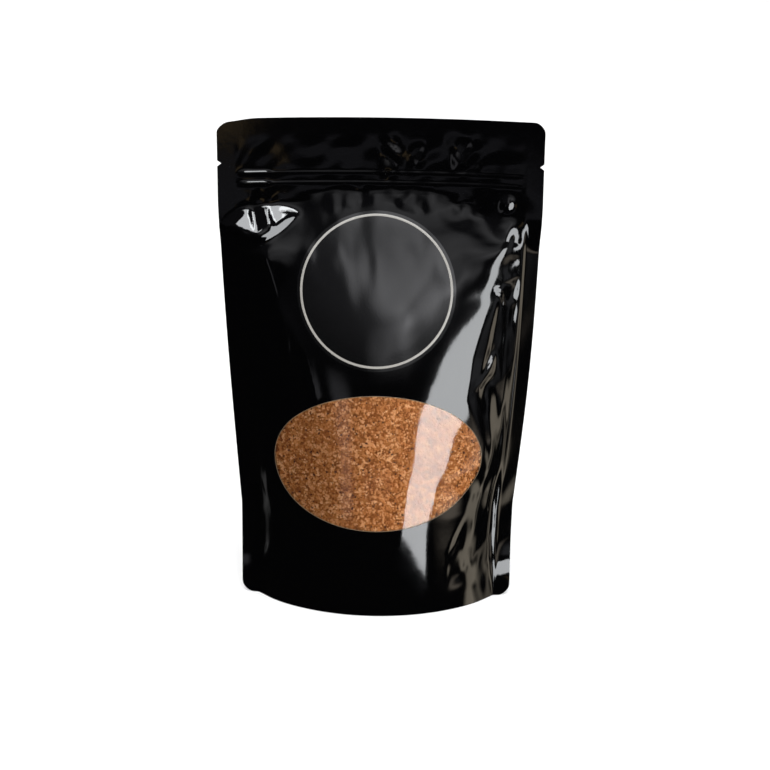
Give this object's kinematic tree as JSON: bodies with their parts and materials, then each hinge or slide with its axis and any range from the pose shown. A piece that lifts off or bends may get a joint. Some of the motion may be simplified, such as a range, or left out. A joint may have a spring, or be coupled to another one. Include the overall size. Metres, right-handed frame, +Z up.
{
  "type": "stand-up pouch of seed mix",
  "caption": "Filled stand-up pouch of glossy film with a press-to-close header, an oval clear window onto a milled seed mix and a round label.",
  "frame": {"origin": "on the table under the middle of the pouch", "axes": "+Z up through the header, front towards -Y, +X to the right in front view"},
  "size_m": [0.1603, 0.0614, 0.248],
  "materials": {
    "film": "smooth glossy laminated film, clear over the window",
    "mix": "dry crumbs and grains of milled seed, uneven brown",
    "label": "satin self-adhesive sticker with a thin pale ring"
  },
  "bodies": {
    "root": {"pouch": "film", "seed_mix": "mix", "label": "label"}
  },
  "joints": []
}
